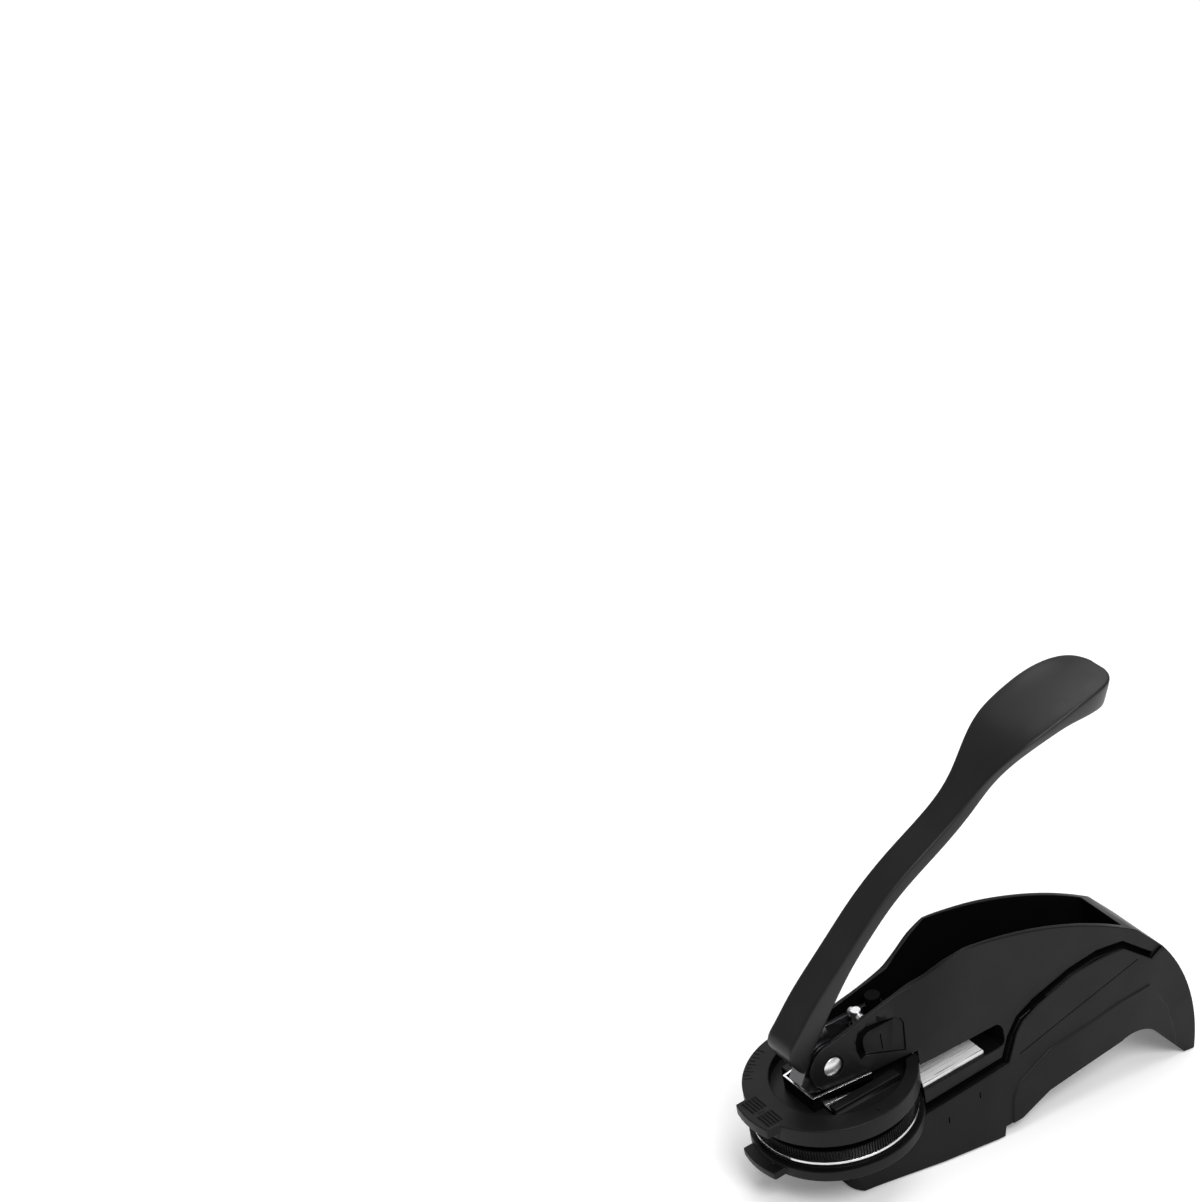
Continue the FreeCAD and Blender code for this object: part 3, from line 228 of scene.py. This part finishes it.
MATERIALS = {
    "body_shell": plastic("shell_black", (0.0038, 0.0038, 0.0041), 0.40, spec=0.21, edge_highlight_tone=2.0),
    "base_cover": plastic("cover_black", (0.0040, 0.0040, 0.0043), 0.46, spec=0.20, edge_highlight_tone=2.0),
    "lever_cover": plastic("lever_black", (0.0055, 0.0055, 0.0058), 0.36, spec=0.36,
                           grain=3200.0, bump=0.03, round_by=0.0002, edge_highlight_tone=1.2),
    "upper_die_holder": plastic("holder_black", (0.0042, 0.0042, 0.0045), 0.42, spec=0.19,
                                round_by=0.0003),
    "lower_die_holder": plastic("holder_grey", (0.0040, 0.0040, 0.0043), 0.44, spec=0.20,
                                round_by=0.0003),
    "die": plastic("die_dark", (0.0028, 0.0028, 0.0030), 0.5, spec=0.2, bump=0.08,
                   round_by=0.0001),
    "bright_ring": metal("ring_chrome", (0.82, 0.82, 0.83), 0.16, (1, 1, 14), 300.0, 0.05),
    # the ram's sides are painted dark as shade; faces that look up keep the bright steel
    "ram_steel": metal("ram_bright", (0.86, 0.86, 0.87), 0.25, (1, 1, 9), 700.0, 0.1,
                       painted_side_shade=(0.03, 0.03, 0.032)),
    "lever_steel": metal("cam_steel", (0.16, 0.16, 0.165), 0.30, (1, 9, 1), 900.0, 0.2),
    "frame_steel": metal("frame_grey", (0.20, 0.20, 0.21), 0.42, (1, 1, 5), 800.0, 0.2),
    "pin_steel": metal("pin_turned", (0.86, 0.86, 0.87), 0.38, (1, 1, 1), 60.0, 0.02),
    "plate_steel": metal("plate_brushed", (0.96, 0.96, 0.96), 0.45, (0.35, 26, 1), 150.0, 0.3,
                         contrast=(0.34, 0.42), dark_tone=0.12, metallic=0.0),
    "spring_steel": metal("spring_wire", (0.42, 0.42, 0.43), 0.3),
    "rubber": plastic("rubber_black", (0.0022, 0.0022, 0.0022), 0.62, spec=0.05,
                      grain=1800.0, bump=0.12, edge_highlight_tone=6.0),
}
# black painted shade for the walls of grooves and the shell's inner faces
PAINTED_SHADE_BLACK = plastic("painted_shade_black", (0.0015, 0.0015, 0.0015), 0.9, spec=0.05)


def dress_frame():
    """Every CAD node takes the material of its record slot."""
    for entry in frame["record"]["subparts"]:
        item = frame["nodes"][entry["node"]]
        item.data.materials.clear()
        item.data.materials.append(MATERIALS[entry["material_slot"]])


# ---------------------------------------------------------------- the part's own frames
PIVOT = Vector((-29.9024, 0.0, 40.4368))            # the lever's pivot, at rest
LEVER_SLOPE = math.radians(37.5)
JAW_ORIGIN = Vector((DIE_AXIS_X, 0.0, 33.2))
JAW_TILT = math.radians(9.9)


def lever_place(along, across, above):
    """Point of the lever's own frame, in the part's frame."""
    x = along * math.cos(LEVER_SLOPE) - above * math.sin(LEVER_SLOPE)
    z = along * math.sin(LEVER_SLOPE) + above * math.cos(LEVER_SLOPE)
    return (PIVOT + Vector((x, across, z))) * MM


def jaw_place(along, across, above):
    """Point of the jaw's own frame, in the part's frame."""
    x = along * math.cos(JAW_TILT) - above * math.sin(JAW_TILT)
    z = along * math.sin(JAW_TILT) + above * math.cos(JAW_TILT)
    return (JAW_ORIGIN + Vector((x, across, z))) * MM


def base_place(along, across, above):
    """Point of the base's frame, whose zero is at the die axis, in the part's frame."""
    return Vector((along + DIE_AXIS_X, across, above)) * MM


def add_piece(name, mesh, body, materials, replaced):
    """Puts a mesh in the scene as a piece that rides on a body and stands for a CAD node."""
    for material in materials:
        mesh.materials.append(material)
    piece = bpy.data.objects.new(name, mesh)
    SCENE.collection.objects.link(piece)
    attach(piece, body)
    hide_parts(replaced)
    return piece


# ---------------------------------------------------------------- lever
# One rib a line: top along and above, half width; underside along and above, half width; depth
# of the dish across the top; depth and half width of the hollow under it.
LEVER_RIBS = [
    (-7.75, 11.8, 4.9, -7.85, 8.6, 4.9, 0, 0, 2.4),
    (-7.3, 13.9, 5.6, -7.5, 6.3, 5.5, 0, 0, 2.6),
    (-6.3, 15.6, 5.8, -6.75, 4.7, 5.7, 0, 0, 2.8),
    (-4.6, 16.7, 5.8, -5.4, 5.8, 5.8, 0, 0.3, 4.2),
    (-3.6, 17.0, 5.8, -4.6, 6.5, 5.8, 0, 8.6, 4.3),
    (0.5, 18.3, 5.8, -1.8, 8.7, 5.8, 0, 8.4, 4.3),
    (6.0, 20.4, 5.8, 4.9, 11.5, 5.8, 0, 7.4, 4.3),
    (13.0, 22.2, 5.8, 12.0, 15.0, 5.8, 0, 5.7, 4.3),
    (21.9, 23.9, 5.8, 22.7, 19.3, 5.8, 0, 3.1, 4.3),
    (30.0, 25.7, 5.8, 30.5, 21.2, 5.8, 0, 3.0, 4.3),
    (37.5, 27.3, 5.8, 38.2, 22.9, 5.8, 0, 2.8, 4.3),
    (47.0, 28.4, 5.8, 46.4, 24.1, 5.8, 0, 2.6, 4.3),
    (56.0, 28.5, 5.8, 55.4, 24.1, 5.8, 0, 2.5, 4.3),
    (64.0, 28.1, 5.8, 64.7, 23.6, 5.8, 0, 2.5, 4.3),
    (72.0, 27.9, 5.8, 73.0, 23.5, 5.75, 0, 2.3, 4.2),
    (78.0, 28.3, 5.9, 80.0, 24.1, 5.8, 0, 0.4, 3.8),
    (84.0, 29.3, 6.6, 86.6, 25.5, 6.2, 0, 0, 3.8),
    (90.0, 30.7, 8.2, 92.2, 26.7, 7.5, 0, 0, 4.5),
    (96.0, 31.6, 10.2, 97.5, 27.4, 9.3, 0.1, 0, 5.5),
    (102.0, 31.7, 11.8, 102.8, 27.2, 10.8, 0.3, 0, 6.5),
    (108.0, 30.6, 12.7, 108.0, 26.2, 11.7, 0.5, 0, 7.0),
    (114.0, 29.2, 13.0, 113.2, 24.7, 12.1, 0.8, 0, 7.2),
    (119.5, 27.8, 13.0, 117.4, 22.4, 12.0, 1.2, 0, 7.2),
    (124.5, 26.0, 12.6, 121.2, 19.6, 11.4, 1.4, 0, 6.8),
    (128.6, 24.0, 11.9, 124.2, 17.2, 10.4, 1.2, 0, 6.0),
    (131.6, 22.1, 10.8, 126.4, 15.4, 9.2, 0.8, 0, 5.0),
    (133.6, 20.7, 9.2, 127.9, 14.1, 7.6, 0.4, 0, 4.0),
    (134.9, 19.7, 7.0, 128.9, 13.2, 5.6, 0.2, 0, 3.0),
    (135.6, 19.1, 4.2, 129.4, 12.8, 3.4, 0.1, 0, 1.8),
    (135.8, 18.9, 1.4, 129.6, 12.6, 1.2, 0, 0, 0.6),
]
LEVER_EDGE = 0.4                    # how far the lever's edges are broken
DISH_SHAPE = ((0.62, 0.7), (0.24, 1.0))             # shares of the half width and of the depth
HOLLOW_DRAFT = 0.98                 # width of the hollow's floor as a share of its mouth


def lever_section(rib):
    """Sixteen points round one rib of the lever, from the near top edge across and back under."""
    top_x, top_z, top_half, under_x, under_z, under_half, dish, hollow, inner = rib
    top = Vector((top_x, 0, top_z))
    under = Vector((under_x, 0, under_z))
    rise = (top - under).normalized()
    edge = min(LEVER_EDGE, top_half * 0.3)

    def spot(base, across, lift):
        return base + rise * lift + Vector((0, across, 0))

    across_top = [(-top_half, -edge), (-top_half + edge, 0)]
    across_top += [(-top_half * out, -dish * down) for out, down in DISH_SHAPE]
    near = [spot(top, y, lift) for y, lift in across_top]
    far = [spot(top, -y, lift) for y, lift in reversed(across_top)]
    across_under = [(under_half, edge), (under_half - edge, 0), (inner, 0),
                    (inner * HOLLOW_DRAFT, hollow)]
    back = [spot(under, y, lift) for y, lift in across_under]
    home = [spot(under, -y, lift) for y, lift in reversed(across_under)]
    return near + far + back + home


def make_lever():
    """Moulded lever as one smooth loft: hollow neck, rounded nose, dished spoon, blunt tip."""
    form = bmesh.new()
    loops = [[form.verts.new(lever_place(*spot)) for spot in lever_section(rib)]
             for rib in LEVER_RIBS]
    count = len(loops[0])
    for first, second in zip(loops, loops[1:]):
        for k in range(count):
            after = (k + 1) % count
            form.faces.new((first[k], second[k], second[after], first[after]))
    for loop, order in ((loops[0], 1), (loops[-1], -1)):
        for k in range(count // 2 - 1):
            corners = (loop[k], loop[k + 1], loop[count - 2 - k], loop[count - 1 - k])
            form.faces.new(corners[::order])
    bmesh.ops.recalc_face_normals(form, faces=form.faces)
    mesh = bpy.data.meshes.new("lever_moulding")
    form.to_mesh(mesh)
    form.free()
    mesh.shade_smooth()
    piece = add_piece("lever_moulding", mesh, "lever", [MATERIALS["lever_cover"]],
                      "lever_cover")
    smooth = piece.modifiers.new("smooth", "SUBSURF")
    smooth.levels = smooth.render_levels = 2


# ---------------------------------------------------------------- grooves
CUT_CLEAR = 2.0                     # how far a cutting solid stands out of the face it cuts
BEYOND_FLANK = 20.0                 # across, outside every flank that is cut
RAY_START = -0.05                   # across, outside the near flank, in metres
NO_FLANK = 100.0                    # half width where a ray meets nothing, so never the least


def flank_at(node, point):
    """Half width of a CAD node where a line across the part meets its near flank."""
    hit, spot, *_ = frame["nodes"][node].ray_cast(Vector((point.x, RAY_START, point.z)),
                                                  Vector((0, 1, 0)))
    return abs(spot.y) * 1000 if hit else NO_FLANK


def strip(points, width):
    """Outline of a band of this width along an open line in the side view."""
    sides = ([], [])
    for k, (x, z) in enumerate(points):
        before = points[max(k - 1, 0)]
        after = points[min(k + 1, len(points) - 1)]
        run = Vector((after[0] - before[0], after[1] - before[1])).normalized()
        for side, turn in zip(sides, (1, -1)):
            side.append((x - run.y * turn * width / 2, z + run.x * turn * width / 2))
    return sides[0] + sides[1][::-1]


def add_groove(form, outlines):
    """Adds a closed solid between two outlines of the same count, to cut a groove with."""
    inner, outer = ([form.verts.new(point) for point in outline] for outline in outlines)
    form.faces.new(inner)
    form.faces.new(outer)
    for k in range(len(inner)):
        after = (k + 1) % len(inner)
        form.faces.new((inner[k], inner[after], outer[after], outer[k]))


def flank_groove(form, node, points, place, sign, depth, least=0.0):
    """Adds a prism over a side-view outline that reaches this deep into one flank of a node."""
    inner = max(min(flank_at(node, place(x, 0, z)) for x, z in points) - depth, least)
    add_groove(form, [[place(x, sign * y, z) for x, z in points] for y in (inner, BEYOND_FLANK)])


def flank_crease(form, node, points, place, sign, width, depth):
    """Adds a thin bar that follows one flank of a node this deep, along a side-view line."""
    outline = strip(points, width)
    rings = []
    for k, (along, above) in enumerate(points):
        inner = flank_at(node, place(along, 0, above)) - depth
        outer = inner + CUT_CLEAR
        (x1, z1), (x2, z2) = outline[k], outline[-1 - k]
        corners = ((x1, inner, z1), (x2, inner, z2), (x2, outer, z2), (x1, outer, z1))
        rings.append([form.verts.new(place(x, sign * y, z)) for x, y, z in corners])
    form.faces.new(rings[0])
    form.faces.new(rings[-1])
    for before, after in zip(rings, rings[1:]):
        for k in range(4):
            form.faces.new((before[k], before[k - 1], after[k - 1], after[k]))


def top_groove(form, start, end):
    """Adds a bar that cuts one straight mark into the upper holder's top face."""
    first, last = Vector(start), Vector(end)
    side = (last - first).normalized().orthogonal() * (MARK_WIDTH / 2)
    plan = (first + side, last + side, last - side, first - side)
    add_groove(form, [[jaw_place(p.x, p.y, z) for p in plan] for z in (-MARK_DEPTH, CUT_CLEAR)])


def cut_grooves(piece, grooves):
    """The piece's mesh with all its grooves cut at once, their walls in the second material, a
    black painted shade.
    """
    bmesh.ops.recalc_face_normals(grooves, faces=grooves.faces)
    mesh = bpy.data.meshes.new("grooves")
    grooves.to_mesh(mesh)
    grooves.free()
    mesh.materials.append(PAINTED_SHADE_BLACK)
    cutter = bpy.data.objects.new("grooves", mesh)
    SCENE.collection.objects.link(cutter)
    cut = piece.modifiers.new("cut", "BOOLEAN")
    cut.operation = "DIFFERENCE"
    cut.solver = "EXACT"
    cut.material_mode = "TRANSFER"
    cut.object = cutter
    ready = piece.evaluated_get(bpy.context.evaluated_depsgraph_get())
    shaped = bpy.data.meshes.new_from_object(ready)
    piece.modifiers.clear()
    bpy.data.objects.remove(cutter)
    return shaped


# ---------------------------------------------------------------- mouldings
# Side-view outlines: SEAM_BAND, COVER_TICKS and COVER_CREASE in the base's frame, FLANK_BAND
# and PANEL_TICK in the jaw's.
SEAM_BAND = [(20.0, 15.0), (54.8, 22.4), (56.6, 31.0), (59.6, 36.0), (65.2, 38.8), (78.0, 44.4),
             (87.5, 46.8), (97.0, 46.7), (107.8, 39.5), (109.1, 41.4), (97.5, 49.2), (87.5, 49.5),
             (77.2, 46.9), (64.3, 41.4), (58.3, 37.4), (55.0, 31.8), (53.4, 25.0), (20.0, 18.2)]
SEAM_LEAST = 9.8                    # half width the seam keeps clear of the lever's channel
FLANK_BAND = [(6.2, 6.0), (5.5, 9.0), (5.8, 12.0), (7.2, 14.2), (9.8, 15.0), (14.2, 14.4),
              (19.8, 13.5), (19.5, 12.7), (14.2, 12.6), (10.8, 12.5), (9.2, 11.8), (8.5, 10.6),
              (8.3, 8.8), (8.6, 6.6)]
PANEL_TICK = [(13.9, 5.4), (14.4, 10.2)]
COVER_TICKS = [[(32.4, 11.8), (32.4, 13.7)], [(43.9, 15.8), (43.9, 17.7)]]
COVER_CREASE = [(59.0 + 2.3 * step, 24.9 + 0.89 * step) for step in range(21)]

SCALE_MARKS = 9                     # angle scale on the upper holder's rim, beside its tab
SCALE_START, SCALE_STEP = 112.0, 3.8
SCALE_INNER, SCALE_OUTER = 22.4, 24.9
SCALE_SHORT = 0.8                   # what every other mark is shorter by
NEAR_MARK = ((0.2, -21.4), (0.4, -23.4))
MARK_WIDTH, MARK_DEPTH = 0.26, 0.3

SHARP_FOLD = math.radians(30)       # folds above this are rounded
FLAT_FOLD = math.radians(1.0)       # folds below this are joined to one face
SMOOTH_FOLD = 35                    # in degrees
WELD = 1e-6

# The shell's inner faces, which take a black painted shade, in the jaw's frame.
CHANNEL_FLOOR, CHANNEL_HALF = 2.8, 9.36
WALL_TOP_FROM = 6                   # above this, faces that look up are the walls' own rims
THROAT_BACK, THROAT_HALF = 45, 11.5
THROAT_LOW, THROAT_HIGH = -13.2, -4.2


def shaded_inner_face(centre, normal):
    """True for the shell's inner faces that take the black painted shade: its channel and the back
    of the throat.
    """
    x = centre.x * 1000 - JAW_ORIGIN.x
    z = centre.z * 1000 - JAW_ORIGIN.z
    along = x * math.cos(JAW_TILT) + z * math.sin(JAW_TILT)
    above = z * math.cos(JAW_TILT) - x * math.sin(JAW_TILT)
    across = abs(centre.y) * 1000
    faces_in = centre.y * normal.y < -1e-4 or abs(normal.y) < 0.5
    on_rim = above > WALL_TOP_FROM and normal.z > 0.5
    in_channel = above > CHANNEL_FLOOR and across < CHANNEL_HALF and faces_in and not on_rim
    in_throat = along > THROAT_BACK and THROAT_LOW < above < THROAT_HIGH and across < THROAT_HALF
    return in_channel or (in_throat and normal.x < 0.2)


def soft_copy(name, node, body, rounding, grooves=None, dark=None):
    """Stands for a CAD moulding: the same form with real rounded edges and its grooves cut.

    dark tells from a face's centre and normal whether it takes the black painted shade of the
    grooves.
    """
    mesh = frame["nodes"][node].data.copy()
    mesh.name = name
    mesh.materials.clear()
    piece = add_piece(name, mesh, body, [MATERIALS[node], PAINTED_SHADE_BLACK], node)
    shaped = cut_grooves(piece, grooves) if grooves else mesh.copy()
    form = bmesh.new()
    form.from_mesh(shaped)
    bmesh.ops.remove_doubles(form, verts=form.verts, dist=WELD)
    bmesh.ops.dissolve_limit(form, angle_limit=FLAT_FOLD, verts=form.verts, edges=form.edges,
                             delimit={"MATERIAL"})
    sharp = [edge for edge in form.edges
             if len(edge.link_faces) == 2 and edge.calc_face_angle_signed() > SHARP_FOLD
             and all(face.material_index == 0 for face in edge.link_faces)]
    bmesh.ops.bevel(form, geom=sharp, offset=rounding * MM, offset_type="OFFSET", segments=2,
                    profile=0.5, affect="EDGES", clamp_overlap=False, material=-1)
    bmesh.ops.remove_doubles(form, verts=form.verts, dist=WELD)
    if dark:
        for face in form.faces:
            if dark(face.calc_center_median(), face.normal):
                face.material_index = 1
    form.to_mesh(piece.data)
    form.free()
    piece.data.shade_smooth()
    piece.data.set_sharp_from_angle(angle=math.radians(SMOOTH_FOLD))
    even = piece.modifiers.new("even", "WEIGHTED_NORMAL")
    even.weight = 100
    even.keep_sharp = True
    bpy.data.meshes.remove(shaped)


def make_mouldings():
    """The black mouldings with rounded edges, the gap above the cover and their small marks, the
    grooves' walls in a black painted shade.
    """
    shell, cover, holder = bmesh.new(), bmesh.new(), bmesh.new()
    for sign in (-1, 1):
        flank_groove(shell, "body_shell", SEAM_BAND, base_place, sign, depth=0.15,
                     least=SEAM_LEAST)
        flank_groove(shell, "body_shell", FLANK_BAND, jaw_place, sign, depth=0.7)
        flank_groove(shell, "body_shell", strip(PANEL_TICK, width=0.35), jaw_place, sign,
                     depth=0.25)
        for tick in COVER_TICKS:
            flank_groove(cover, "base_cover", strip(tick, width=0.45), base_place, sign,
                         depth=0.4)
        flank_crease(cover, "base_cover", COVER_CREASE, base_place, sign, width=0.32, depth=0.2)
    for step in range(SCALE_MARKS):
        angle = math.radians(SCALE_START + SCALE_STEP * step)
        ray = Vector((math.cos(angle), math.sin(angle)))
        top_groove(holder, ray * (SCALE_INNER + SCALE_SHORT * (step % 2)), ray * SCALE_OUTER)
    top_groove(holder, *NEAR_MARK)
    soft_copy("shell_moulding", "body_shell", "press_frame", rounding=0.25, grooves=shell,
              dark=shaded_inner_face)
    soft_copy("cover_moulding", "base_cover", "press_frame", rounding=0.3, grooves=cover)
    soft_copy("upper_holder_moulding", "upper_die_holder", "upper_die_set", rounding=0.3,
              grooves=holder)
    soft_copy("lower_holder_moulding", "lower_die_holder", "lower_die_set", rounding=0.3)


def make_spring():
    """Return spring between the channel floor and the cross pin, the CAD spring's form shaded
    smooth.
    """
    mesh = frame["nodes"]["lift_spring"].data.copy()
    mesh.materials.clear()
    mesh.shade_smooth()
    piece = add_piece("return_spring", mesh, "press_frame",
                      [MATERIALS["spring_steel"]], "lift_spring")
    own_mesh(piece)


# ---------------------------------------------------------------- stage and light
FLOOR_SIZE = 8.0
FLOOR_DROP = 0.0002                 # keeps the floor clear of the pad's underside
FLOOR_GLOW = 0.16                   # brings the floor up to white for the camera alone
LIGHTS = [                          # name, place, point it looks at, size, power
    ("key_top", (0.3, 0.2, 3.0), (0.03, 0, 0.04), (2.2, 2.2), 46.0),
    ("fill_near", (-0.3, -1.3, 1.6), (0, 0, 0.04), (1.0, 0.8), 24.0),
    ("card_far", (0.6, 1.5, 1.2), (0.02, 0, 0.06), (1.0, 0.7), 3.0),
]


def make_stage():
    """Plain pale floor, white to the camera, that keeps the object's shadow."""
    bpy.ops.mesh.primitive_plane_add(size=FLOOR_SIZE, location=(0.0, 0.0, -FLOOR_DROP))
    floor = bpy.context.object
    floor.name = "floor"
    graph = Graph("floor_pale")
    graph.shader.inputs["Base Color"].default_value = (0.93, 0.93, 0.93, 1)
    graph.shader.inputs["Roughness"].default_value = 0.9
    graph.shader.inputs["Specular IOR Level"].default_value = 0.1
    graph.shader.inputs["Emission Color"].default_value = (1.0, 1.0, 1.0, 1)
    sight = graph.node("ShaderNodeLightPath").outputs["Is Camera Ray"]
    glow = graph.node("ShaderNodeMath", _operation="MULTIPLY")
    glow.inputs[1].default_value = FLOOR_GLOW
    graph.link(sight, glow.inputs[0])
    graph.link(glow.outputs["Value"], graph.shader.inputs["Emission Strength"])
    floor.data.materials.append(graph.material)


def make_light():
    """Pale studio all round and three soft lamps."""
    world = bpy.data.worlds.new("studio")
    SCENE.world = world
    world.use_nodes = True
    nodes = world.node_tree.nodes
    nodes["Background"].inputs["Color"].default_value = (1.0, 1.0, 1.0, 1)
    nodes["Background"].inputs["Strength"].default_value = 0.34
    for name, place, aim, size, power in LIGHTS:
        data = bpy.data.lights.new(name, "AREA")
        data.shape = "RECTANGLE"
        data.size, data.size_y = size
        data.energy = power
        lamp = bpy.data.objects.new(name, data)
        SCENE.collection.objects.link(lamp)
        lamp.location = place
        lamp.rotation_mode = "QUATERNION"
        lamp.rotation_quaternion = (Vector(aim) - Vector(place)).to_track_quat("-Z", "Y")


make_camera()
dress_frame()
make_lever()
make_mouldings()
make_spring()
make_stage()
make_light()
